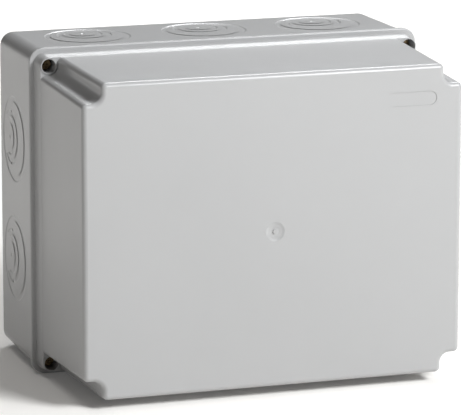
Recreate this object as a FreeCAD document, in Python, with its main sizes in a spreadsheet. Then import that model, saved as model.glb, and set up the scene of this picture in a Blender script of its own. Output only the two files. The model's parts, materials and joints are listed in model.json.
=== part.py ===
import FreeCAD, Part
import math
import os
import Sketcher

# Surface-mounted electrical junction box with a deep screw-on cover.
# Millimetres. Origin: centre of the back face that lies on the wall.
# +X to the right, +Z up, the front faces -Y. "Depth" is the distance in front of the wall,
# so a point at depth d has y = -d. Cross-sections lie in XZ planes, whose normal is -Y.

DOC = FreeCAD.newDocument("junction_box")

# name, value, meaning
SIZES = [
    ("lip_w", 240.0, "overall width, across the cover's lip"),
    ("lip_tall", 195.0, "overall height, across the cover's lip"),
    ("total_depth", 164.3, "wall to front face"),
    ("base_depth", 72.0, "wall to the front edge of the base walls"),
    ("base_back_a", 117.75, "half width of the base at the wall"),
    ("base_back_b", 95.25, "half height of the base at the wall"),
    ("base_flare", 0.75, "how much each base wall leans out over its depth"),
    ("base_corner", 8.0, "corner radius of the base"),
    ("base_floor", 2.8, "thickness of the base floor"),
    ("base_skin", 2.6, "thickness of the base walls"),
    ("band_depth", 66.0, "depth where the base rim thickens inward"),
    ("back_round", 1.2, "rounding of the back edges"),
    ("lip_back", 70.8, "depth of the back of the cover's lip"),
    ("lip_front", 73.8, "depth of the front of the cover's lip"),
    ("lip_corner", 8.8, "corner radius of the lip"),
    ("lip_round", 0.9, "edge rounding of the lip"),
    ("step_gap", 0.35, "gap between the lip and the base wall inside it"),
    ("rim_gap", 0.3, "gap between the base edge and the cover above it"),
    ("collar_a", 117.3, "half width of the cover's collar at the lip"),
    ("collar_b", 94.8, "half height of the cover's collar at the lip"),
    ("collar_corner", 6.5, "corner radius of the collar at the lip"),
    ("floor_depth", 84.5, "depth of the four corner floors where the screws go in"),
    ("body_a", 116.0, "half width of the raised body at the corner floors"),
    ("body_b", 93.4, "half height of the raised body at the corner floors"),
    ("body_corner", 4.9, "corner radius of the collar at the corner floors"),
    ("lean", 1.9, "how much each cover wall leans in up to the front face"),
    ("notch", 10.4, "size of the corner channels at the corner floors"),
    ("notch_front", 11.4, "size of the corner channels at the front face"),
    ("notch_inner", 5.9, "inner radius of the corner channels"),
    ("notch_outer", 3.0, "rounding of the channel's long edges"),
    ("front_round", 2.8, "rounding of the front edges"),
    ("skin", 2.5, "thickness of the cover walls"),
    ("shelf", 3.5, "thickness of the shelf behind the gasket groove"),
    ("groove_out", 2.1, "inset of the gasket groove's outer side from the body"),
    ("groove_in", 5.3, "inset of the gasket groove's inner side from the body"),
    ("rib_in", 6.9, "inset of the inner gasket rib from the body"),
    ("groove_top", 80.5, "depth of the gasket groove's bottom"),
    ("gasket_thick", 2.5, "gasket thickness"),
    ("tongue_gap", 0.6, "side gap between the tongue and the gasket groove"),
    ("tongue_short", 0.1, "gap between the tongue and the gasket"),
    ("screw_inset", 4.85, "distance of each screw axis from the body's two walls"),
    ("well_rad", 4.2, "radius of the screw well"),
    ("ring_rad", 4.7, "outer radius of the raised ring round the well"),
    ("ring_proud", 0.6, "how far the ring stands off the corner floor"),
    ("seat_depth", 74.3, "depth of the screw head's seat"),
    ("hole_rad", 2.3, "radius of the clearance hole under the seat"),
    ("insert_rad", 2.8, "outer radius of the threaded inserts"),
    ("insert_long", 9.8, "length of the threaded inserts"),
    ("insert_sink", 0.2, "how far each insert sits below the post's top"),
    ("thread_rad", 2.0, "radius of an M4 screw"),
    ("thread_gap", 0.05, "radial running clearance of an M4 thread"),
    ("tip_room_rad", 2.4, "radius of the blind hole below the insert"),
    ("tip_room_end", 54.0, "depth where that blind hole ends"),
    ("core_rad", 4.5, "radius of the core-outs behind the posts"),
    ("core_long", 45.0, "length of the core-outs behind the posts"),
    ("washer_thick", 0.8, "sealing washer thickness"),
    ("washer_rad", 3.9, "sealing washer outer radius"),
    ("washer_hole", 2.2, "sealing washer inner radius"),
    ("head_rad", 3.2, "cover screw head radius"),
    ("head_tall", 2.0, "cover screw head height"),
    ("screw_long", 16.6, "cover screw length under the head"),
    ("cross_half", 1.8, "half length of the cover screw's cross recess"),
    ("slot_wide", 0.9, "width of a screwdriver slot"),
    ("slot_deep", 1.4, "depth of a screwdriver slot"),
    ("entry_pitch", 72.4, "spacing of the cable knock-outs"),
    ("entry_rad_a", 24.8, "middle radius of the largest knock-out ring"),
    ("entry_rad_b", 15.7, "middle radius of the middle knock-out ring"),
    ("entry_rad_c", 10.6, "middle radius of the smallest knock-out ring"),
    ("entry_at_a", 32.0, "depth of the largest ring's centre"),
    ("entry_at_b", 25.1, "depth of the middle ring's centre"),
    ("entry_at_c", 22.3, "depth of the smallest ring's centre"),
    ("entry_above", 0.3, "height of the knock-out sketches above the wall"),
    ("entry_half", 1.9, "half width of the knock-out grooves at that height"),
    ("entry_slope", 71.0, "slope of the grooves' sides from upright, in degrees"),
    ("entry_sink", 0.3, "depth of the grooves below the wall"),
    ("tab_rad", 0.9, "radius of the break-out tab marks on the middle ring"),
    ("tab_sink", 0.6, "depth of those marks below the wall"),
    ("dimple_rad", 2.3, "radius of the centre dimple at the height of its sketch"),
    ("dimple_slope", 70.0, "slope of the dimple's side from upright, in degrees"),
    ("dimple_sink", 0.25, "depth of the dimple below the wall"),
    ("label_long", 31.0, "length of the blank label recess"),
    ("label_tall", 8.2, "height of the blank label recess"),
    ("label_at_x", 82.6, "centre of the label recess"),
    ("label_at_z", 72.3, "centre of the label recess"),
    ("label_sink", 0.3, "depth of the label recess"),
    ("dish_rad", 5.75, "radius of the shallow dish at the moulding gate"),
    ("dish_sink", 0.9, "depth of that dish"),
    ("nub_rad", 1.2, "radius of the gate nub in the dish"),
    ("fix_x", 92.0, "wall-fixing holes, half spacing"),
    ("fix_z", 70.0, "wall-fixing holes, half spacing"),
    ("fix_rad", 2.75, "radius of the wall-fixing holes"),
    ("fix_pad_rad", 7.0, "radius of the pads round the wall-fixing holes"),
    ("fix_pad_tall", 2.0, "height of those pads"),
    ("boss_x", 85.0, "rail bosses, half spacing"),
    ("boss_rad", 5.5, "radius of the rail bosses"),
    ("rail_back", 10.8, "depth of the rail's back"),
    ("rail_long", 190.0, "rail length"),
    ("rail_thick", 1.0, "rail sheet thickness"),
    ("rail_hat", 7.5, "rail height"),
    ("rail_half", 17.5, "rail, half width over its flanges"),
    ("rail_web", 13.5, "rail, half width of its hat"),
    ("rail_head_rad", 3.5, "rail screw head radius"),
    ("rail_head_tall", 2.0, "rail screw head height"),
    ("rail_screw_end", 4.0, "depth of the rail screw's tip"),
    ("pole_pitch", 12.0, "terminal pitch along the rail"),
    ("pole_wide", 11.8, "terminal housing width"),
    ("pole_half", 26.0, "terminal housing, half length"),
    ("pole_nose", 21.0, "terminal housing, half length at the front"),
    ("pole_front", 58.0, "depth of the terminal housing's front"),
    ("pole_side", 50.0, "depth where the housing starts to narrow"),
    ("pole_wall", 1.7, "closed side wall of the terminal housing"),
    ("clamp_z", 13.0, "distance of each clamp from the terminal's middle"),
    ("cage_room_a", 26.4, "depth where the cage room starts"),
    ("cage_room_b", 43.8, "depth where the cage room ends"),
    ("cage_room_half", 4.1, "half size of the cage room along Z"),
    ("neck_end", 45.2, "depth where the neck above the cage room ends"),
    ("neck_half", 2.3, "half width of the neck slot"),
    ("head_room_end", 48.4, "depth where the clamp screw's head room ends"),
    ("head_room_half", 3.8, "half size of the head room"),
    ("driver_rad", 3.0, "radius of the screwdriver holes"),
    ("wire_rad", 2.9, "radius of the wire entries"),
    ("wire_depth", 31.1, "depth of the wire entries' axis"),
    ("bar_back", 34.05, "depth of the current bar's back"),
    ("bar_thick", 1.5, "current bar thickness"),
    ("bar_wide", 6.4, "current bar width"),
    ("bar_long", 34.0, "current bar length"),
    ("bar_gap", 0.15, "gap round the current bar in its slot"),
    ("cage_back", 26.6, "depth of an open cage's back"),
    ("cage_tall", 13.8, "cage height"),
    ("cage_half_x", 4.05, "cage, half width"),
    ("cage_half_z", 3.5, "cage, half length"),
    ("cage_side", 0.7, "cage side thickness"),
    ("cage_foot", 1.5, "cage foot thickness"),
    ("cage_top", 2.8, "cage top thickness"),
    ("clamp_head_rad", 3.5, "clamp screw head radius"),
    ("clamp_head_back", 45.3, "depth of the clamp screw head's back"),
    ("clamp_head_tall", 2.9, "clamp screw head height"),
    ("clamp_tip", 35.85, "depth of the clamp screw's tip"),
    ("plate_thick", 1.5, "end plate thickness"),
    ("stop_wide", 8.0, "end bracket width"),
    ("stop_front", 44.0, "depth of the end bracket's front"),
    ("foot_gap", 0.15, "gap between a terminal foot and the rail"),
    ("foot_low", 14.5, "depth of the terminal feet's back"),
    ("foot_out", 21.5, "half length over the terminal feet"),
    ("foot_tip", 15.2, "half gap between the hooks under the rail"),
    ("half_radius", 1.0, "small radius on hidden inner edges"),
    ("wide_inner", 9.0, "inner radius of the corner channels at the inner outlines"),
    ("zero", 0.0, "on the centre line"),
]

CORNERS = [("tl", -1, 1), ("tr", 1, 1), ("bl", -1, -1), ("br", 1, -1)]
POLE_TAGS = ["l1", "l2", "l3", "n", "pe"]
POLES = len(POLE_TAGS)
ENTRY_RINGS = ["a", "b", "c"]
TOUCH = 0.001


def make_sheet():
    sheet = DOC.addObject("Spreadsheet::Sheet", "Params")
    for row, (alias, value, meaning) in enumerate(SIZES, start=1):
        sheet.set("A%d" % row, meaning)
        sheet.set("B%d" % row, str(value))
        sheet.setAlias("B%d" % row, alias)
    DOC.recompute()
    return sheet


SHEET = make_sheet()


def tokens(words):
    """Split 'a + b - 2 * c' into names, numbers and signs."""
    for mark in "+-*":
        words = words.replace(mark, " %s " % mark)
    return words.split()


def size(words):
    """Value of a sum of products written with the sheet's aliases."""
    known = {alias: value for alias, value, _ in SIZES}
    total = 0.0
    term = 0.0
    sign = 1.0
    product = False
    for word in tokens(words):
        if word in ("+", "-"):
            total += term
            term = 0.0
            sign = 1.0 if word == "+" else -1.0
        elif word == "*":
            product = True
        else:
            value = known[word] if word in known else float(word)
            term = term * value if product else sign * value
            product = False
    return total + term


def bound(words):
    """The same expression as the sheet's user reads it, with Params. before each alias."""
    known = {alias for alias, _, _ in SIZES}
    return " ".join("Params." + word if word in known else word for word in tokens(words))


def mirror_words(words):
    """The same sum with every sign turned round."""
    flipped = {"+": "-", "-": "+"}
    parts = tokens(words)
    if parts[0] not in flipped:
        parts = ["+"] + parts
    parts = [flipped.get(part, part) for part in parts]
    return " ".join(parts)


def new_body(label):
    body = DOC.addObject("PartDesign::Body", label)
    body.Label = label
    return body


def plane(body, role):
    return [item for item in body.Origin.OriginFeatures if item.Role == role][0]


def new_sketch(body, name, role="XZ_Plane", offset=None):
    """Sketch on one of the body's origin planes, moved along that plane's normal."""
    sketch = body.newObject("Sketcher::SketchObject", name)
    sketch.AttachmentSupport = [(plane(body, role), "")]
    sketch.MapMode = "FlatFace"
    if offset:
        sketch.AttachmentOffset.Base = FreeCAD.Vector(0, 0, size(offset))
        sketch.setExpression(".AttachmentOffset.Base.z", bound(offset))
    return sketch


class Pen:
    """Draws one sketch and ties its sizes to the sheet."""

    def __init__(self, sketch):
        self.sketch = sketch

    def line(self, start, end):
        return self.sketch.addGeometry(Part.LineSegment(point(start), point(end)), False)

    def arc(self, centre, radius, start, end):
        """Arc from start to end round centre, and which of its ends is the start."""
        angle_a = math.atan2(start[1] - centre[1], start[0] - centre[0])
        angle_b = math.atan2(end[1] - centre[1], end[0] - centre[0])
        forward = (angle_b - angle_a) % (2 * math.pi) < math.pi
        circle = Part.Circle(point(centre), FreeCAD.Vector(0, 0, 1), radius)
        if forward:
            curve = Part.ArcOfCircle(circle, angle_a, angle_b)
        else:
            curve = Part.ArcOfCircle(circle, angle_b, angle_a)
        return self.sketch.addGeometry(curve, False), (1, 2) if forward else (2, 1)

    def tie(self, kind, *args, words=None):
        """Add a constraint, and bind it to the sheet when words are given."""
        if words is None:
            self.sketch.addConstraint(Sketcher.Constraint(kind, *args))
            return
        index = self.sketch.addConstraint(Sketcher.Constraint(kind, *args, size(words)))
        name = "size_%d" % index
        self.sketch.renameConstraint(index, name)
        self.sketch.setExpression("Constraints." + name, bound(words))

    def place(self, kind, geo, sign, words):
        """Hold the start of an edge at a signed distance from the origin."""
        if sign > 0:
            self.tie(kind, -1, 1, geo, 1, words=words)
        else:
            self.tie(kind, geo, 1, -1, 1, words=words)

    def circle(self, x_words, z_words, radius_words, x_sign=1, z_sign=1):
        centre = (x_sign * size(x_words), z_sign * size(z_words))
        geometry = Part.Circle(point(centre), FreeCAD.Vector(0, 0, 1), size(radius_words))
        geo = self.sketch.addGeometry(geometry, False)
        self.tie("Radius", geo, words=radius_words)
        for kind, sign, words in (("DistanceX", x_sign, x_words), ("DistanceY", z_sign, z_words)):
            if size(words) < TOUCH:
                axis = -2 if kind == "DistanceX" else -1
                self.tie("PointOnObject", geo, 3, axis)
            elif sign > 0:
                self.tie(kind, -1, 1, geo, 3, words=words)
            else:
                self.tie(kind, geo, 3, -1, 1, words=words)
        return geo

    def chain(self, steps):
        """Closed chain of edges; each step is (index, start end, finish end)."""
        for here, after in zip(steps, steps[1:] + steps[:1]):
            self.tie("Tangent", here[0], here[2], after[0], after[1])

    def rounded_rect(self, half_x, half_z, radius):
        """Rectangle about the origin with equal rounded corners."""
        a, b, r = size(half_x), size(half_z), size(radius)
        corners = [(1, 1), (1, -1), (-1, -1), (-1, 1)]
        steps = []
        arcs = []
        for sx, sz in corners:
            side, end = (sx * a, sz * (b - r)), (sx * (a - r), sz * b)
            start, stop = (end, side) if sx * sz > 0 else (side, end)
            geo, ends = self.arc((sx * (a - r), sz * (b - r)), r, start, stop)
            arcs.append((geo, ends, start, stop))
        for (sx, sz), here, after in zip(corners, arcs, arcs[1:] + arcs[:1]):
            line = self.line(here[3], after[2])
            upright = sx * sz > 0
            self.tie("Vertical" if upright else "Horizontal", line)
            if upright:
                self.place("DistanceX", line, sx, half_x)
            else:
                self.place("DistanceY", line, sz, half_z)
            steps += [(here[0],) + here[1], (line, 1, 2)]
        self.chain(steps)
        self.tie("Radius", arcs[0][0], words=radius)
        for other in arcs[1:]:
            self.tie("Equal", arcs[0][0], other[0])

    def notched_rect(self, half_x, half_z, notch, inner, outer):
        """Rectangle about the origin with a channel cut into each corner."""
        a, b, n, rc, rv = (size(words) for words in (half_x, half_z, notch, inner, outer))
        steps = []
        rounds = []
        hollows = []
        walls = []
        for sx, sz in [(1, 1), (1, -1), (-1, -1), (-1, 1)]:
            def at(x, z, sx=sx, sz=sz):
                return (sx * x, sz * z)
            points = [at(a - n - rv, b), at(a - n, b - rv), at(a - n, b - n + rc)]
            points += [at(a - n + rc, b - n), at(a - rv, b - n), at(a, b - n - rv)]
            first = self.arc(at(a - n - rv, b - rv), rv, points[0], points[1])
            upright = self.line(points[1], points[2])
            hollow = self.arc(at(a - n + rc, b - n + rc), rc, points[2], points[3])
            level = self.line(points[3], points[4])
            last = self.arc(at(a - rv, b - n - rv), rv, points[4], points[5])
            self.tie("Vertical", upright)
            self.tie("Horizontal", level)
            self.place("DistanceX", upright, sx, half_x + " - " + notch)
            self.place("DistanceY", level, sz, half_z + " - " + notch)
            run = [(first[0],) + first[1], (upright, 1, 2), (hollow[0],) + hollow[1]]
            run += [(level, 1, 2), (last[0],) + last[1]]
            ends = (points[0], points[5])
            if sx * sz < 0:
                run = [(geo, finish, start) for geo, start, finish in reversed(run)]
                ends = (points[5], points[0])
            rounds += [first[0], last[0]]
            hollows.append(hollow[0])
            walls.append((run, ends, sx, sz))
        for here, after in zip(walls, walls[1:] + walls[:1]):
            wall = self.line(here[1][1], after[1][0])
            if here[2] * here[3] > 0:
                self.tie("Vertical", wall)
                self.place("DistanceX", wall, here[2], half_x)
            else:
                self.tie("Horizontal", wall)
                self.place("DistanceY", wall, here[3], half_z)
            steps += here[0] + [(wall, 1, 2)]
        self.chain(steps)
        self.tie("Radius", rounds[0], words=outer)
        self.tie("Radius", hollows[0], words=inner)
        for geo in rounds[1:]:
            self.tie("Equal", rounds[0], geo)
        for geo in hollows[1:]:
            self.tie("Equal", hollows[0], geo)

    def outline(self, corners):
        """Closed outline of straight edges through corners given as sheet expressions."""
        spots = [(size(x), size(z)) for x, z in corners]
        edges = [self.line(p, q) for p, q in zip(spots, spots[1:] + spots[:1])]
        for here, after in zip(edges, edges[1:] + edges[:1]):
            self.tie("Coincident", here, 2, after, 1)
        for edge, (x, z) in zip(edges, corners):
            for kind, words in (("DistanceX", x), ("DistanceY", z)):
                if abs(size(words)) < TOUCH:
                    self.tie("PointOnObject", edge, 1, -2 if kind == "DistanceX" else -1)
                else:
                    self.tie(kind, -1, 1, edge, 1, words=words)

    def slot(self, half_long, half_tall, at_x, at_z):
        """Stadium along X centred on a point."""
        x, z, half, r = size(at_x), size(at_z), size(half_long), size(half_tall)
        left, right = (x - half + r, z), (x + half - r, z)
        top = self.line((left[0], z + r), (right[0], z + r))
        circle = Part.Circle(point(right), FreeCAD.Vector(0, 0, 1), r)
        nose = self.sketch.addGeometry(Part.ArcOfCircle(circle, -math.pi / 2, math.pi / 2), False)
        bottom = self.line((right[0], z - r), (left[0], z - r))
        circle = Part.Circle(point(left), FreeCAD.Vector(0, 0, 1), r)
        arc = Part.ArcOfCircle(circle, math.pi / 2, 3 * math.pi / 2)
        tail = self.sketch.addGeometry(arc, False)
        self.chain([(top, 1, 2), (nose, 2, 1), (bottom, 1, 2), (tail, 2, 1)])
        self.tie("Horizontal", top)
        self.tie("Equal", nose, tail)
        self.tie("Radius", nose, words=half_tall)
        self.tie("DistanceX", -1, 1, nose, 3, words=at_x + " + " + half_long + " - " + half_tall)
        self.tie("DistanceX", -1, 1, tail, 3, words=at_x + " - " + half_long + " + " + half_tall)
        self.tie("DistanceY", -1, 1, nose, 3, words=at_z)


def point(pair):
    return FreeCAD.Vector(pair[0], pair[1], 0)


def finish_body(body, feature):
    DOC.recompute()
    body.Tip = feature
    return body


def pad(body, name, sketch, length):
    feature = body.newObject("PartDesign::Pad", name)
    feature.Profile = sketch
    feature.Length = size(length)
    feature.setExpression("Length", bound(length))
    DOC.recompute()
    return feature


def pocket(body, name, sketch, length, back=False, slope=None):
    """Cut against the sketch's normal, or along it when back is set; check that it bites."""
    before = body.Shape.Volume
    feature = body.newObject("PartDesign::Pocket", name)
    feature.Profile = sketch
    feature.Length = size(length)
    feature.setExpression("Length", bound(length))
    feature.Reversed = back
    if slope:
        feature.TaperAngle = -size(slope)
        feature.setExpression("TaperAngle", "-" + bound(slope))
    DOC.recompute()
    if body.Shape.Volume > before - 0.01:
        raise RuntimeError("nothing was cut by " + name)
    return feature


def loft(body, name, sketches, cut=False):
    kind = "PartDesign::SubtractiveLoft" if cut else "PartDesign::AdditiveLoft"
    before = body.Shape.Volume if cut else 0.0
    feature = body.newObject(kind, name)
    feature.Profile = sketches[0]
    feature.Sections = sketches[1:]
    feature.Ruled = True
    DOC.recompute()
    if cut and body.Shape.Volume > before - 0.01:
        raise RuntimeError("nothing was cut by " + name)
    return feature


def round_edges(body, name, radius, wanted):
    """Fillet the edges of the body's shape that pass a test."""
    last = body.Tip
    names = ["Edge%d" % n for n, edge in enumerate(last.Shape.Edges, start=1) if wanted(edge)]
    feature = body.newObject("PartDesign::Fillet", name)
    feature.Base = (last, names)
    feature.Radius = size(radius)
    feature.setExpression("Radius", bound(radius))
    DOC.recompute()
    return feature


def edge_at_depth(edge, depth):
    return all(abs(-v.Y - depth) < 0.01 for v in edge.Vertexes)


def rect_sketch(body, name, offset, half_x, half_z, radius):
    sketch = new_sketch(body, name, offset=offset)
    Pen(sketch).rounded_rect(half_x, half_z, radius)
    return sketch


def notch_sketch(body, name, offset, insets, extra="", notch="notch"):
    """Corner-notched outline set in from the raised body; two insets make a ring."""
    sketch = new_sketch(body, name, offset=offset)
    pen = Pen(sketch)
    for inset, inner, outer in insets:
        tail = (" " + mirror_words(inset) if inset else "") + extra
        pen.notched_rect("body_a" + tail, "body_b" + tail, notch, inner, outer)
    return sketch


def corner_circles(body, name, offset, radius, role="XZ_Plane"):
    """One circle on each of the four cover screw axes."""
    sketch = new_sketch(body, name, role, offset)
    pen = Pen(sketch)
    for _, sx, sz in CORNERS:
        pen.circle("body_a - screw_inset", "body_b - screw_inset", radius, sx, sz)
    return sketch


GROOVE_OUT = ("groove_out", "notch_inner + groove_out", "half_radius")
GROOVE_IN = ("groove_in", "wide_inner", "half_radius")


def make_base():
    """Wall box: floor, walls, corner posts, tongue, knock-outs, bosses and fixing holes."""
    body = new_body("base_box")
    back = rect_sketch(body, "BackOutline", None, "base_back_a", "base_back_b", "base_corner")
    front = rect_sketch(body, "FrontOutline", "base_depth", "base_back_a + base_flare",
                        "base_back_b + base_flare", "base_corner + 0.4")
    loft(body, "Block", [back, front])
    round_edges(body, "BackRound", "back_round", lambda edge: edge_at_depth(edge, 0.0))
    low = new_sketch(body, "RoomBack", offset="base_floor")
    Pen(low).notched_rect("base_back_a - base_skin", "base_back_b - base_skin", "notch",
                          "notch_inner + base_skin", "half_radius")
    high = new_sketch(body, "RoomFront", offset="band_depth")
    Pen(high).notched_rect("base_back_a - base_skin + 0.5", "base_back_b - base_skin + 0.5",
                           "notch", "notch_inner + base_skin", "half_radius")
    loft(body, "Room", [low, high], cut=True)
    ring_in = ("groove_in - tongue_gap", "wide_inner", "half_radius")
    ring_out = ("groove_out + tongue_gap", "notch_inner + groove_out + tongue_gap", "half_radius")
    mouth = notch_sketch(body, "MouthOutline", "base_depth", [ring_in])
    pocket(body, "Mouth", mouth, "base_depth - band_depth + 0.01")
    tongue = notch_sketch(body, "TongueOutline", "base_depth", [ring_in, ring_out])
    pad(body, "Tongue", tongue, "groove_top - gasket_thick - tongue_short - base_depth")
    bore = corner_circles(body, "InsertBores", "base_depth", "insert_rad")
    pocket(body, "InsertBore", bore, "insert_long + insert_sink")
    room = corner_circles(body, "TipRooms", "base_depth", "tip_room_rad")
    pocket(body, "TipRoom", room, "base_depth - tip_room_end")
    core = corner_circles(body, "CoreOuts", None, "core_rad")
    pocket(body, "CoreOut", core, "core_long", back=True)
    make_floor_details(body)
    last = make_knockouts(body)
    return finish_body(body, last)


def make_floor_details(body):
    """Pads and holes for fixing to the wall, and bosses that carry the rail."""
    pads = new_sketch(body, "FixPads", offset="base_floor")
    holes = new_sketch(body, "FixHoles", offset="base_floor + fix_pad_tall")
    sinks = new_sketch(body, "FixSinks", offset="base_floor + fix_pad_tall")
    for _, sx, sz in CORNERS:
        Pen(pads).circle("fix_x", "fix_z", "fix_pad_rad", sx, sz)
        Pen(holes).circle("fix_x", "fix_z", "fix_rad", sx, sz)
        Pen(sinks).circle("fix_x", "fix_z", "fix_rad + 2.2", sx, sz)
    pad(body, "FixPad", pads, "fix_pad_tall")
    pocket(body, "FixHole", holes, "base_floor + fix_pad_tall + 0.1")
    pocket(body, "FixSink", sinks, "1.2")
    bosses = new_sketch(body, "BossOutlines", offset="base_floor")
    bores = new_sketch(body, "BossBores", offset="rail_back")
    for side in (-1, 1):
        Pen(bosses).circle("boss_x", "zero", "boss_rad", side)
        Pen(bores).circle("boss_x", "zero", "thread_rad + thread_gap", side)
    pad(body, "Bosses", bosses, "rail_back - base_floor")
    pocket(body, "BossBore", bores, "rail_back - rail_screw_end + 0.5")


def make_knockouts(body):
    """Three nested ring grooves with sloping sides at every cable entry, on all four walls."""
    across, upward = FreeCAD.Vector(1, 0, 0), FreeCAD.Vector(0, 1, 0)
    walls = [("Top", "XY_Plane", "base_back_b + entry_above", (-1, 0, 1), False, -across),
             ("Bottom", "XY_Plane", "- base_back_b - entry_above", (-1, 0, 1), True, across),
             ("Right", "YZ_Plane", "base_back_a + entry_above", (-0.5, 0.5), False, upward),
             ("Left", "YZ_Plane", "- base_back_a - entry_above", (-0.5, 0.5), True, -upward)]
    middle, tab = "entry_rad_b", "tab_rad"
    for wall, role, offset, spots, back, axis in walls:
        cuts = []
        for ring in ENTRY_RINGS:
            radii = ["entry_rad_" + ring + edge for edge in (" + entry_half", " - entry_half")]
            cuts.append(("Groove" + ring, "entry_at_" + ring, [("zero", r) for r in radii],
                         "entry_sink", "entry_slope"))
        cuts.append(("Tabs", "entry_at_b", [(middle, tab), ("- " + middle, tab)], "tab_sink",
                     None))
        cuts.append(("Dimple", "entry_at_c", [("zero", "dimple_rad")], "dimple_sink",
                     "dimple_slope"))
        for kind, depth, circles, sink, slope in cuts:
            sketch = new_sketch(body, "Entry%s%s" % (wall, kind), role, offset)
            lean_with_wall(sketch, axis)
            pen = Pen(sketch)
            for spot in spots:
                for shift, radius in circles:
                    along = "%s * entry_pitch" % spot
                    if shift != "zero":
                        along += (" " if shift[0] == "-" else " + ") + shift
                    sign = 1 if size(along) >= 0 else -1
                    if sign < 0:
                        along = mirror_words(along)
                    if role == "XY_Plane":
                        pen.circle(along, depth, radius, sign, -1)
                    else:
                        pen.circle(depth, along, radius, -1, sign)
            last = pocket(body, kind + wall, sketch, "entry_above + " + sink, back, slope)
    return last


def lean_with_wall(sketch, axis):
    """Tilt a sketch so that it lies parallel to the leaning wall."""
    tilt = math.degrees(math.atan2(size("base_flare"), size("base_depth")))
    sketch.AttachmentOffset.Rotation = FreeCAD.Rotation(axis, tilt)
    sketch.setExpression(".AttachmentOffset.Rotation.Angle",
                         "atan(Params.base_flare / Params.base_depth)")


def make_cover():
    """Deep cover: lip, collar, raised body with corner channels, groove, screw wells."""
    body = new_body("cover")
    lip = rect_sketch(body, "LipOutline", "lip_back", "0.5 * lip_w", "0.5 * lip_tall",
                      "lip_corner")
    pad(body, "Lip", lip, "lip_front - lip_back")
    round_edges(body, "LipRound", "lip_round", lambda edge: edge_at_depth(edge, size("lip_front")))
    foot = rect_sketch(body, "CollarFoot", "lip_front", "collar_a", "collar_b", "collar_corner")
    top = rect_sketch(body, "CollarTop", "floor_depth", "body_a", "body_b", "body_corner")
    loft(body, "Collar", [foot, top])
    rings = corner_circles(body, "WellRings", "floor_depth", "ring_rad")
    pad(body, "WellRing", rings, "ring_proud")
    sill = notch_sketch(body, "BodyFoot", "floor_depth", [("", "notch_inner", "notch_outer")])
    face = notch_sketch(body, "BodyFront", "total_depth", [("", "notch_inner", "notch_outer")],
                        " - lean", "notch_front")
    loft(body, "Raised", [sill, face])
    round_edges(body, "FrontRound", "front_round",
                lambda edge: edge_at_depth(edge, size("total_depth")))
    shelf = "groove_top + shelf"
    inner = ("skin", "notch_inner + skin", "half_radius")
    low = notch_sketch(body, "RoomBack", shelf, [inner])
    high = notch_sketch(body, "RoomFront", "total_depth - skin", [inner], " - lean",
                        "notch_front")
    loft(body, "Room", [low, high], cut=True)
    mouth = notch_sketch(body, "MouthOutline", shelf, [("rib_in", "wide_inner", "half_radius")])
    pocket(body, "Mouth", mouth, "groove_top + shelf - lip_back + 0.1")
    groove = notch_sketch(body, "GrooveOutline", "groove_top", [GROOVE_OUT, GROOVE_IN])
    pocket(body, "GasketGroove", groove, "groove_top - lip_back + 0.1")
    step = rect_sketch(body, "StepOutline", "base_depth + rim_gap",
                       "base_back_a + base_flare + step_gap",
                       "base_back_b + base_flare + step_gap", "base_corner + 0.7")
    pocket(body, "Step", step, "base_depth + rim_gap - lip_back + 0.1")
    wells = corner_circles(body, "Wells", "floor_depth + ring_proud", "well_rad")
    pocket(body, "Well", wells, "floor_depth + ring_proud - seat_depth")
    holes = corner_circles(body, "ScrewHoles", "seat_depth", "hole_rad")
    pocket(body, "ScrewHole", holes, "seat_depth - lip_back")
    label = new_sketch(body, "LabelOutline", offset="total_depth")
    Pen(label).slot("0.5 * label_long", "0.5 * label_tall", "label_at_x", "label_at_z")
    pocket(body, "LabelRecess", label, "label_sink")
    return finish_body(body, make_dish(body))


def make_dish(body):
    """Shallow dish with the moulding gate's nub in the middle of the front face."""
    sketch = new_sketch(body, "DishOutline", "YZ_Plane")
    front = "- total_depth"
    Pen(sketch).outline([(front + " - 1", "zero"), (front + " - 1", "dish_rad"),
                         (front, "dish_rad"), (front + " + 0.5 * dish_sink", "0.75 * dish_rad"),
                         (front + " + 0.9 * dish_sink", "0.4 * dish_rad"),
                         (front + " + dish_sink", "zero")])
    dish = body.newObject("PartDesign::Groove", "Dish")
    dish.Profile = sketch
    dish.ReferenceAxis = (plane(body, "Y_Axis"), [""])
    dish.Angle = 360.0
    DOC.recompute()
    nub = new_sketch(body, "NubOutline", offset="total_depth - dish_sink - 0.2")
    Pen(nub).circle("zero", "zero", "nub_rad")
    return pad(body, "Nub", nub, "0.8 * dish_sink + 0.2")


def make_gasket():
    """Foam sealing cord that lies in the cover's groove."""
    body = new_body("gasket")
    ring = notch_sketch(body, "GasketOutline", "groove_top - gasket_thick",
                        [GROOVE_OUT, GROOVE_IN])
    return finish_body(body, pad(body, "Ring", ring, "gasket_thick"))


def spot(thing, x="0", depth="0", z="0"):
    """Hold a solid's position with expressions; depth runs along -Y."""
    thing.setExpression("Placement.Base.x", bound(x))
    thing.setExpression("Placement.Base.y", "-(%s)" % bound(depth))
    thing.setExpression("Placement.Base.z", bound(z))
    return thing


def rod(name, radius, length, x="0", depth="0", z="0"):
    """Cylinder whose axis runs forward (-Y) from a depth."""
    thing = DOC.addObject("Part::Cylinder", name)
    thing.setExpression("Radius", bound(radius))
    thing.setExpression("Height", bound(length))
    thing.Placement.Rotation = FreeCAD.Rotation(FreeCAD.Vector(1, 0, 0), 90)
    return spot(thing, x, depth, z)


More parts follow.
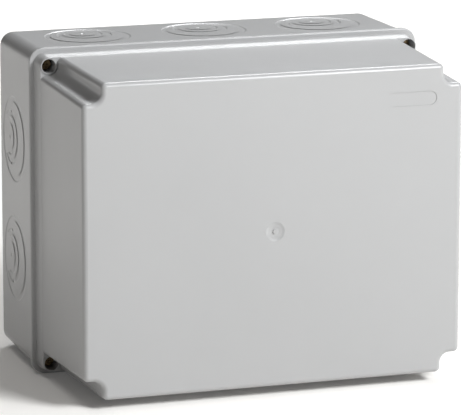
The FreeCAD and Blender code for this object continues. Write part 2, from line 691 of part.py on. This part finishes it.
def block(name, half_x, half_z, length, x="0", depth="0", z="0"):
    """Box centred in X and Z, running forward from a depth."""
    thing = DOC.addObject("Part::Box", name)
    thing.setExpression("Length", "2 * (%s)" % bound(half_x))
    thing.setExpression("Height", "2 * (%s)" % bound(half_z))
    thing.setExpression("Width", bound(length))
    thing.setExpression("Placement.Base.x", "%s - (%s)" % (bound(x), bound(half_x)))
    thing.setExpression("Placement.Base.y", "-(%s) - (%s)" % (bound(depth), bound(length)))
    thing.setExpression("Placement.Base.z", "%s - (%s)" % (bound(z), bound(half_z)))
    return thing


def cut(name, base, tool):
    thing = DOC.addObject("Part::Cut", name)
    thing.Base = base
    thing.Tool = tool
    return thing


def join(name, shapes):
    thing = DOC.addObject("Part::MultiFuse", name)
    thing.Shapes = shapes
    return thing


def group(name, shapes):
    """Several separate, identical solids kept as one node."""
    thing = DOC.addObject("Part::Compound", name)
    thing.Links = shapes
    return thing


def corner_words(sx, sz):
    x = "body_a - screw_inset" if sx > 0 else "screw_inset - body_a"
    z = "body_b - screw_inset" if sz > 0 else "screw_inset - body_b"
    return x, z


def make_cover_screw(tag, sx, sz):
    """M4 screw of the cover, with a cross recess in its head."""
    x, z = corner_words(sx, sz)
    under = "seat_depth + washer_thick"
    head = rod("head_" + tag, "head_rad", "head_tall", x, under, z)
    shank = rod("shank_" + tag, "thread_rad", "screw_long + 0.5", x, under + " - screw_long", z)
    solid = join("screw_solid_" + tag, [head, shank])
    bottom = under + " + head_tall - slot_deep"
    level = block("cross_level_" + tag, "cross_half", "0.5 * slot_wide", "slot_deep + 1", x,
                  bottom, z)
    upright = block("cross_upright_" + tag, "0.5 * slot_wide", "cross_half", "slot_deep + 1", x,
                    bottom, z)
    return cut("cover_screw_" + tag, solid, join("cross_" + tag, [level, upright]))


def make_screw_seal(tag, sx, sz):
    """Sealing washer under the head of a cover screw."""
    x, z = corner_words(sx, sz)
    disc = rod("seal_disc_" + tag, "washer_rad", "washer_thick", x, "seat_depth", z)
    hole = rod("seal_hole_" + tag, "washer_hole", "washer_thick + 2", x, "seat_depth - 1", z)
    return cut("screw_seal_" + tag, disc, hole)


def make_inserts():
    """Brass threaded inserts in the base's corner posts."""
    tubes = []
    start = "base_depth - insert_sink - insert_long"
    for tag, sx, sz in CORNERS:
        x, z = corner_words(sx, sz)
        outer = rod("insert_out_" + tag, "insert_rad", "insert_long", x, start, z)
        inner = rod("insert_in_" + tag, "thread_rad + thread_gap", "insert_long + 2", x,
                    start + " - 1", z)
        tubes.append(cut("insert_" + tag, outer, inner))
    return group("threaded_inserts", tubes)


def make_rail():
    """Top-hat mounting rail with a fixing hole near each end."""
    body = new_body("mounting_rail")
    sketch = new_sketch(body, "RailOutline", "YZ_Plane", "- 0.5 * rail_long")
    back = "- rail_back"
    front = "- rail_back - rail_hat"
    corners = []
    half = [(back, "rail_web"), (front + " + rail_thick", "rail_web"),
            (front + " + rail_thick", "rail_half"), (front, "rail_half"),
            (front, "rail_web - rail_thick"), (back + " - rail_thick", "rail_web - rail_thick")]
    corners += half
    flipped = {"rail_web": "- rail_web", "rail_half": "- rail_half",
               "rail_web - rail_thick": "rail_thick - rail_web"}
    corners += [(y, flipped[z]) for y, z in reversed(half)]
    Pen(sketch).outline(corners)
    pad(body, "Strip", sketch, "rail_long")
    holes = new_sketch(body, "RailHoles", offset="rail_back + rail_thick")
    for side in (-1, 1):
        Pen(holes).circle("boss_x", "zero", "thread_rad + 0.4", side)
    return finish_body(body, pocket(body, "FixingHoles", holes, "rail_thick + 0.1"))


def make_rail_screws():
    """Two screws that hold the rail on its bosses."""
    screws = []
    seat = "rail_back + rail_thick"
    for tag, x in (("left", "- boss_x"), ("right", "boss_x")):
        head = rod("rail_head_" + tag, "rail_head_rad", "rail_head_tall", x, seat)
        shank = rod("rail_shank_" + tag, "thread_rad", "rail_back + rail_thick - rail_screw_end"
                    " + 0.2", x, "rail_screw_end")
        solid = join("rail_solid_" + tag, [head, shank])
        slot = block("rail_slot_" + tag, "rail_head_rad + 1", "0.5 * slot_wide", "2", x,
                     seat + " + rail_head_tall - 0.9")
        screws.append(cut("rail_screw_" + tag, solid, slot))
    return group("rail_screws", screws)


def profile_corners(front_half):
    """Half of a rail-mounted part's side view, from the rail's middle out to the front."""
    seat = "- rail_back - rail_hat"
    hook = seat + " + rail_thick + foot_gap"
    side = "pole_half" if front_half == "pole_nose" else front_half
    top = "- pole_front" if front_half == "pole_nose" else "- stop_front"
    shoulder = "- pole_side" if front_half == "pole_nose" else "- stop_front + 3"
    return [(seat, "rail_half + foot_gap"), (hook, "rail_half + foot_gap"), (hook, "foot_tip"),
            ("- foot_low", "foot_tip"), ("- foot_low", "foot_out"), ("- foot_low - 5", "foot_out"),
            ("- foot_low - 7.5", side), (shoulder, side),
            (top, front_half if front_half == "pole_nose" else front_half + " - 3")]


def side_profile(body, name, offset, front_half):
    sketch = new_sketch(body, name, "YZ_Plane", offset)
    half = profile_corners(front_half)
    other = [(y, mirror_words(z)) for y, z in reversed(half)]
    Pen(sketch).outline(half + other)
    return sketch


def window(body, name, offset, length, boxes):
    """Pocket from the open side of a housing; boxes are depth and height pairs."""
    sketch = new_sketch(body, name + "Outline", "YZ_Plane", offset)
    for near, far, low, high in boxes:
        near, far = mirror_words(near), mirror_words(far)
        Pen(sketch).outline([(near, low), (far, low), (far, high), (near, high)])
    return pocket(body, name, sketch, length)


def clamp_boxes(near, far, half):
    """The same window at both clamps of a terminal."""
    return [(near, far, "clamp_z - " + half, "clamp_z + " + half),
            (near, far, "- clamp_z - " + half, half + " - clamp_z")]


def pole_x(number):
    return "%s * pole_pitch" % (number - (POLES - 1) / 2.0)


def make_housing(label, number):
    """Terminal housing, open on its right side, which clips on the rail."""
    body = new_body(label)
    body.setExpression("Placement.Base.x", bound(pole_x(number)))
    left = "- 0.5 * pole_wide"
    outline = side_profile(body, label + "_side", left, "pole_nose")
    pad(body, label + "_block", outline, "pole_wide")
    right = "0.5 * pole_wide"
    deep = "pole_wide - pole_wall"
    tag = label + "_"
    window(body, tag + "cage_room", right, deep,
           clamp_boxes("cage_room_a", "cage_room_b", "cage_room_half"))
    window(body, tag + "neck", right, deep,
           clamp_boxes("cage_room_b - 0.1", "neck_end + 0.1", "neck_half"))
    window(body, tag + "head_room", right, deep,
           clamp_boxes("neck_end", "head_room_end", "head_room_half"))
    window(body, tag + "bar_slot", right, deep,
           [("bar_back - bar_gap", "bar_back + bar_thick + bar_gap",
             "- 0.5 * bar_long - bar_gap", "0.5 * bar_long + bar_gap")])
    driver = new_sketch(body, tag + "driver_holes", offset="pole_front")
    for sign in (-1, 1):
        Pen(driver).circle("zero", "clamp_z", "driver_rad", 1, sign)
    pocket(body, tag + "driver", driver, "pole_front - head_room_end + 0.1")
    for side, offset, back in (("up", "pole_half", False), ("down", "- pole_half", True)):
        entry = new_sketch(body, tag + "entry_" + side, "XY_Plane", offset)
        Pen(entry).circle("zero", "wire_depth", "wire_rad", 1, -1)
        last = pocket(body, tag + "wire_" + side, entry,
                      "pole_half - clamp_z - cage_room_half + 0.1", back)
    return finish_body(body, last)


def make_end_plate():
    """Thin plate that closes the open side of the last terminal."""
    body = new_body("end_plate")
    start = "%s * pole_pitch + 0.5 * pole_wide" % ((POLES - 1) / 2.0)
    outline = side_profile(body, "PlateSide", start + " + 0.1", "pole_nose")
    return finish_body(body, pad(body, "Plate", outline, "plate_thick"))


def make_stop(label, offset):
    """End bracket that keeps the row of terminals together on the rail."""
    body = new_body(label)
    outline = side_profile(body, label + "_side", offset, "foot_out")
    return finish_body(body, pad(body, label + "_block", outline, "stop_wide"))


def make_bar(tag, number):
    """Copper bar that joins the two clamps of a terminal."""
    return block("current_bar_" + tag, "0.5 * bar_wide", "0.5 * bar_long", "bar_thick",
                 pole_x(number), "bar_back")


def make_cage(tag, number, end, sign):
    """Clamp cage that is drawn up the screw and lifts the wire against the bar."""
    x = pole_x(number)
    z = "clamp_z" if sign > 0 else "- clamp_z"
    name = "clamp_cage_%s_%s" % (tag, end)
    outer = block("outer_" + name, "cage_half_x", "cage_half_z", "cage_tall", x, "cage_back", z)
    room = block("room_" + name, "cage_half_x - cage_side", "cage_half_z + 1",
                 "cage_tall - cage_foot - cage_top", x, "cage_back + cage_foot", z)
    thread = rod("thread_" + name, "thread_rad + thread_gap", "cage_top + 2", x,
                 "cage_back + cage_tall - cage_top - 1", z)
    return cut(name, cut("frame_" + name, outer, room), thread)


def make_clamp_screw(tag, number, end, sign):
    """Slotted M4 screw that turns in place and draws its cage forward."""
    x = pole_x(number)
    z = "clamp_z" if sign > 0 else "- clamp_z"
    name = "clamp_screw_%s_%s" % (tag, end)
    head = rod("head_" + name, "clamp_head_rad", "clamp_head_tall", x, "clamp_head_back", z)
    shank = rod("shank_" + name, "thread_rad", "clamp_head_back - clamp_tip + 0.5", x,
                "clamp_tip", z)
    slot = block("slot_" + name, "clamp_head_rad + 1", "0.5 * slot_wide", "slot_deep + 1", x,
                 "clamp_head_back + clamp_head_tall - slot_deep", z)
    return cut(name, join("solid_" + name, [head, shank]), slot)


def make_all():
    """Build every part and return them by node name."""
    nodes = {"base_box": make_base(), "cover": make_cover(), "gasket": make_gasket()}
    for tag, sx, sz in CORNERS:
        nodes["cover_screw_" + tag] = make_cover_screw(tag, sx, sz)
        nodes["screw_seal_" + tag] = make_screw_seal(tag, sx, sz)
    nodes["threaded_inserts"] = make_inserts()
    nodes["mounting_rail"] = make_rail()
    nodes["rail_screws"] = make_rail_screws()
    for number, tag in enumerate(POLE_TAGS):
        nodes["terminal_housing_" + tag] = make_housing("terminal_housing_" + tag, number)
        nodes["current_bar_" + tag] = make_bar(tag, number)
        for end, sign in (("upper", 1), ("lower", -1)):
            nodes["clamp_cage_%s_%s" % (tag, end)] = make_cage(tag, number, end, sign)
            nodes["clamp_screw_%s_%s" % (tag, end)] = make_clamp_screw(tag, number, end, sign)
    nodes["end_plate"] = make_end_plate()
    row_end = "2 * pole_pitch + 0.5 * pole_wide + 0.1"
    nodes["end_bracket_right"] = make_stop("end_bracket_right", row_end + " + plate_thick + 0.1")
    nodes["end_bracket_left"] = make_stop("end_bracket_left",
                                          mirror_words(row_end) + " - stop_wide")
    return nodes


def check_and_save(nodes):
    """Stop on any broken object or empty shape, then write one STEP file per part."""
    DOC.recompute()
    for item in DOC.Objects:
        if "Invalid" in item.State or "Error" in item.State:
            raise RuntimeError("broken object: %s %s" % (item.Label, item.State))
    os.makedirs("parts", exist_ok=True)
    for name, item in nodes.items():
        item.Label = name
        shape = item.Shape
        if shape.isNull() or not shape.isValid() or not shape.Solids:
            raise RuntimeError("bad shape: " + name)
        shape.exportStep("parts/%s.step" % name)
        box = shape.BoundBox
        print("%-32s solids %d volume %9.1f  x %.1f..%.1f  y %.1f..%.1f  z %.1f..%.1f" % (
            name, len(shape.Solids), shape.Volume, box.XMin, box.XMax, box.YMin, box.YMax,
            box.ZMin, box.ZMax))


check_and_save(make_all())
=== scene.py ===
import json
import math
import bpy
from mathutils import Matrix, Vector


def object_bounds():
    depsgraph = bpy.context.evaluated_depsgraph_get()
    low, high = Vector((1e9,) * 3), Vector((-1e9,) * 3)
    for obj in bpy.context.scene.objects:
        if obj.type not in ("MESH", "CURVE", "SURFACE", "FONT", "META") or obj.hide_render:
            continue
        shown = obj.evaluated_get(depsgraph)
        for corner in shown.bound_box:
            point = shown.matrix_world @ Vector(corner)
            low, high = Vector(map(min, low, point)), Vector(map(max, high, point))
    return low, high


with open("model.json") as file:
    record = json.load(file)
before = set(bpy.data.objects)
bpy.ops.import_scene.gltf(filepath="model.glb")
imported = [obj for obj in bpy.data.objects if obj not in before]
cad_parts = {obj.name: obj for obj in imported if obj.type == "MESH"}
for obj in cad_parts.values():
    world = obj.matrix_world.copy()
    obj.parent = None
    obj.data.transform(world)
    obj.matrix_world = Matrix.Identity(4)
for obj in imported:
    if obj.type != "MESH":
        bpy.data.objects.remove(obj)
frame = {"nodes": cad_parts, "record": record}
CAD_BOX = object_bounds()

WHITE = (1.0, 1.0, 1.0)
COOL_WHITE = (0.97, 0.985, 1.0)


# --- materials -----------------------------------------------------------------------------

class Nodes:
    """Short helper for building one material's node tree."""

    def __init__(self, name):
        self.material = bpy.data.materials.new(name)
        self.material.use_nodes = True
        self.tree = self.material.node_tree
        self.tree.nodes.clear()
        output = self.add("ShaderNodeOutputMaterial")
        self.shader = self.add("ShaderNodeBsdfPrincipled")
        self.link(self.shader.outputs["BSDF"], output.inputs["Surface"])
        self.coords = self.add("ShaderNodeTexCoord").outputs["Object"]

    def add(self, kind, **values):
        node = self.tree.nodes.new(kind)
        for key, value in values.items():
            setattr(node, key, value)
        return node

    def link(self, source, target):
        self.tree.links.new(source, target)

    def feed(self, target, value):
        """Link a socket to the target, or set the target to a plain value."""
        if isinstance(value, bpy.types.NodeSocket):
            self.link(value, target)
        else:
            target.default_value = value

    def put(self, socket, value):
        self.feed(self.shader.inputs[socket], value)

    def current(self, socket):
        """The socket that feeds this input of the shader now."""
        return self.shader.inputs[socket].links[0].from_socket

    def noise(self, scale, detail=3.0, roughness=0.5):
        node = self.add("ShaderNodeTexNoise")
        node.inputs["Scale"].default_value = scale
        node.inputs["Detail"].default_value = detail
        node.inputs["Roughness"].default_value = roughness
        self.link(self.coords, node.inputs["Vector"])
        return node.outputs["Fac"]

    def ramp(self, source, low, high):
        """Blend between two (position, colour) stops."""
        node = self.add("ShaderNodeValToRGB")
        for element, (position, colour) in zip(node.color_ramp.elements, (low, high)):
            element.position = position
            element.color = tuple(colour) + (1.0,)
        self.link(source, node.inputs["Fac"])
        return node.outputs["Color"]

    def span(self, source, low, high, start=0.0, stop=1.0):
        """Stretch start..stop of the source over low..high."""
        node = self.add("ShaderNodeMapRange")
        node.inputs["From Min"].default_value = start
        node.inputs["From Max"].default_value = stop
        node.inputs["To Min"].default_value = low
        node.inputs["To Max"].default_value = high
        self.link(source, node.inputs["Value"])
        return node.outputs["Result"]

    def bump(self, source, distance, previous=None):
        node = self.add("ShaderNodeBump")
        node.inputs["Distance"].default_value = distance
        node.inputs["Strength"].default_value = 1.0
        self.link(source, node.inputs["Height"])
        if previous:
            self.link(previous, node.inputs["Normal"])
        return node.outputs["Normal"]

    def along(self, axis):
        """The part's own coordinate along one axis, in metres."""
        node = self.add("ShaderNodeSeparateXYZ")
        self.link(self.coords, node.inputs["Vector"])
        return node.outputs[axis]

    def math(self, operation, *values):
        node = self.add("ShaderNodeMath", operation=operation)
        for target, value in zip(node.inputs, values):
            self.feed(target, value)
        return node.outputs["Value"]


def shade(colour, factor):
    return tuple(min(1.0, channel * factor) for channel in colour)


def plastic(name, colour, rough=(0.38, 0.5), grain=0.00002, vary=0.03):
    """Moulded plastic: fine texture, faint cloudiness and slightly uneven gloss."""
    nodes = Nodes(name)
    cloud = nodes.noise(14.0, 4.0, 0.55)
    nodes.put("Base Color", nodes.ramp(cloud, (0.3, shade(colour, 1 - vary)), (0.7, shade(colour, 1 + vary))))
    nodes.put("Roughness", nodes.span(nodes.noise(60.0, 3.0, 0.6), *rough))
    coarse = nodes.bump(nodes.noise(90.0, 2.0, 0.5), grain * 1.5)
    nodes.put("Normal", nodes.bump(nodes.noise(1500.0, 2.0, 0.6), grain, coarse))
    return nodes


def metal(name, colour, rough=(0.28, 0.4)):
    """Plated or plain metal with a finely scratched surface and uneven tone."""
    nodes = Nodes(name)
    tone = nodes.noise(220.0, 4.0, 0.6)
    nodes.put("Base Color", nodes.ramp(tone, (0.25, shade(colour, 0.86)), (0.75, shade(colour, 1.08))))
    nodes.put("Metallic", 1.0)
    scratches = nodes.noise(900.0, 3.0, 0.6)
    nodes.put("Roughness", nodes.span(scratches, *rough))
    nodes.put("Normal", nodes.bump(scratches, 0.00001))
    return nodes


def rubber(name, colour, grain=0.00005):
    """Dull rubber or foam with a fine porous surface."""
    nodes = Nodes(name)
    pores = nodes.noise(1400.0, 4.0, 0.7)
    nodes.put("Base Color", nodes.ramp(pores, (0.3, shade(colour, 0.7)), (0.7, shade(colour, 1.3))))
    nodes.put("Roughness", nodes.span(nodes.noise(200.0), 0.65, 0.85))
    nodes.put("Normal", nodes.bump(pores, grain))
    return nodes


def two_tone(nodes, second, axis, edges):
    """Swap to a second colour and back at each of the edges along one axis of the part."""
    place = nodes.along(axis)
    swapped = None
    for edge in edges:
        beyond = nodes.math("GREATER_THAN", place, edge)
        if swapped:
            swapped = nodes.math("ABSOLUTE", nodes.math("SUBTRACT", swapped, beyond))
        else:
            swapped = beyond
    mix = nodes.add("ShaderNodeMix", data_type="RGBA")
    nodes.link(swapped, mix.inputs["Factor"])
    nodes.link(nodes.current("Base Color"), mix.inputs["A"])
    mix.inputs["B"].default_value = tuple(second) + (1.0,)
    nodes.put("Base Color", mix.outputs["Result"])
    return nodes


def threaded(nodes, pitch, start, height):
    """Add a screw thread's ridges along Y, from one depth back to the tip."""
    place = nodes.along("Y")
    half = 0.5 * pitch
    ridge = nodes.math("MULTIPLY", nodes.math("PINGPONG", place, half),
                       nodes.math("GREATER_THAN", place, start))
    nodes.put("Normal", nodes.bump(ridge, height / half, nodes.current("Normal")))
    return nodes


THREAD_PITCH = 0.0007
THREAD_HEIGHT = 0.0003
THREAD_START = -0.074
EARTH_BAND_INNER = 0.0065
EARTH_BAND_OUTER = 0.0235
EARTH_EDGES = (-EARTH_BAND_OUTER, -EARTH_BAND_INNER, EARTH_BAND_INNER, EARTH_BAND_OUTER)

MATERIALS = {
    "shell": plastic("shell_grey", (0.40, 0.401, 0.402), (0.28, 0.31), 0.00001, 0.012),
    "gasket_foam": rubber("gasket_foam", (0.03, 0.03, 0.032)),
    # Screw heads: yellow-zinc metal with its colour darkened far below that finish, as painted shade for
    # their deep, shadowed wells.
    "screw_head": threaded(metal("screw_yellow_shade_darkened", (0.17, 0.125, 0.07), (0.18, 0.3)),
                           THREAD_PITCH, THREAD_START, THREAD_HEIGHT),
    "seal": rubber("seal_black", (0.02, 0.02, 0.02), 0.00001),
    "insert_brass": metal("insert_brass", (0.75, 0.55, 0.22)),
    "zinc_steel": metal("zinc_steel", (0.62, 0.64, 0.66), (0.28, 0.45)),
    "pole_grey": plastic("pole_grey", (0.17, 0.175, 0.18)),
    "pole_blue": plastic("pole_blue", (0.02, 0.09, 0.36)),
    "pole_earth": two_tone(plastic("pole_earth", (0.02, 0.2, 0.035)), (0.72, 0.5, 0.02), "Z", EARTH_EDGES),
    "tinned_copper": metal("tinned_copper", (0.78, 0.74, 0.68), (0.3, 0.42)),
}
for entry in frame["record"]["subparts"]:
    node = frame["nodes"][entry["node"]]
    node.data.materials.clear()
    node.data.materials.append(MATERIALS[entry["material_slot"]].material)

# --- edges and shading -----------------------------------------------------------------------

# Slightly rounded edges on the small moulded and stamped parts, by the start of their names.
EDGE_WIDTHS = {
    "terminal_housing_": 0.00035,
    "end_": 0.0004,
    "mounting_rail": 0.00015,
    "clamp_cage_": 0.00015,
    "current_bar_": 0.00015,
}
for name, node in frame["nodes"].items():
    for start, width in EDGE_WIDTHS.items():
        if name.startswith(start):
            bevel = node.modifiers.new("soft_edges", "BEVEL")
            bevel.width = width
            bevel.segments = 2
            bevel.limit_method = "ANGLE"
            bevel.angle_limit = math.radians(40)
            bevel.harden_normals = True

# Even shading on the base's large walls.
even = frame["nodes"]["base_box"].modifiers.new("even_normals", "WEIGHTED_NORMAL")
even.mode = "FACE_AREA"
even.weight = 70
even.keep_sharp = True

# --- floor and surroundings ------------------------------------------------------------------

FLOOR_SIZE = 60.0
FLOOR_Z = CAD_BOX[0][2]
GLOW_NEAR = 0.05
GLOW_FAR = 0.9
GLOW_START = 1.2
GLOW_FULL = 4.0


def pale_floor():
    """Matt off-white that glows more with distance, so that the horizon stays pale."""
    nodes = Nodes("pale_floor")
    tone = nodes.noise(3.0)
    nodes.put("Base Color", nodes.ramp(tone, (0.3, (0.94, 0.92, 0.89)), (0.7, (0.96, 0.94, 0.91))))
    nodes.put("Roughness", 0.9)
    radius = nodes.add("ShaderNodeVectorMath", operation="LENGTH")
    nodes.link(nodes.coords, radius.inputs[0])
    nodes.put("Emission Color", WHITE + (1.0,))
    nodes.put("Emission Strength",
              nodes.span(radius.outputs["Value"], GLOW_NEAR, GLOW_FAR, GLOW_START, GLOW_FULL))
    return nodes


bpy.ops.mesh.primitive_plane_add(size=FLOOR_SIZE, location=(0, 0, FLOOR_Z))
floor = bpy.context.object
floor.name = "floor"
floor.data.materials.append(pale_floor().material)

# Faint, slightly warm surroundings.
world = bpy.data.worlds.new("studio")
bpy.context.scene.world = world
world.use_nodes = True
sky = world.node_tree.nodes["Background"]
sky.inputs["Color"].default_value = (1.0, 0.96, 0.92, 1.0)
sky.inputs["Strength"].default_value = 0.04

# --- lights ----------------------------------------------------------------------------------

CENTRE = Vector((0.0, -0.08, 0.0))
LIGHT_DISTANCE = 2.4
OVERHEAD = Vector((0.95, 1.9, 1.6))


def area_light(name, location, aim, size, power, colour):
    """Round soft light that shines along a direction."""
    data = bpy.data.lights.new(name, "AREA")
    data.shape = "DISK"
    data.size = size
    data.energy = power
    data.color = colour
    light = bpy.data.objects.new(name, data)
    bpy.context.collection.objects.link(light)
    light.location = location
    light.rotation_euler = aim.to_track_quat("-Z", "Y").to_euler()


def light_on_box(name, azimuth, elevation, size, power, colour):
    """Light aimed at the box; azimuth 0 is straight in front (-Y), 90 is to the right (+X)."""
    a, e = math.radians(azimuth), math.radians(elevation)
    away = Vector((math.sin(a) * math.cos(e), -math.cos(a) * math.cos(e), math.sin(e)))
    area_light(name, CENTRE + away * LIGHT_DISTANCE, -away, size, power, colour)


light_on_box("key", 32, 36, 0.9, 62, COOL_WHITE)
light_on_box("side", 50, 47, 0.9, 9, COOL_WHITE)
light_on_box("top_left", -90, 78, 1.2, 10, (1.0, 0.99, 0.975))
area_light("behind", OVERHEAD, Vector((0.0, 0.0, -1.0)), 1.2, 48, COOL_WHITE)

# --- camera ----------------------------------------------------------------------------------

# Stands to the left of and a little above the box, looking right and down.
AZIMUTH, ELEVATION, ROLL = (math.radians(angle) for angle in (18.56, 12.29, 0.10))
CAMERA_PLACE = Vector((-0.66682, -2.07813, 0.45885))
LENS = 284.02
SENSOR_WIDTH = 36.0
SHIFT_X, SHIFT_Y = -0.01026, -0.01204

camera = bpy.data.objects.new("camera", bpy.data.cameras.new("camera"))
bpy.context.collection.objects.link(camera)
forward = Vector((math.sin(AZIMUTH) * math.cos(ELEVATION),
                  math.cos(AZIMUTH) * math.cos(ELEVATION),
                  -math.sin(ELEVATION)))
turn = forward.to_track_quat("-Z", "Y").to_matrix().to_4x4() @ Matrix.Rotation(ROLL, 4, "Z")
camera.matrix_world = Matrix.Translation(CAMERA_PLACE) @ turn
camera.data.lens = LENS
camera.data.sensor_width = SENSOR_WIDTH
camera.data.shift_x = SHIFT_X
camera.data.shift_y = SHIFT_Y
camera.data.clip_start = 0.05
bpy.context.scene.camera = camera
bpy.context.scene.view_settings.view_transform = "Standard"
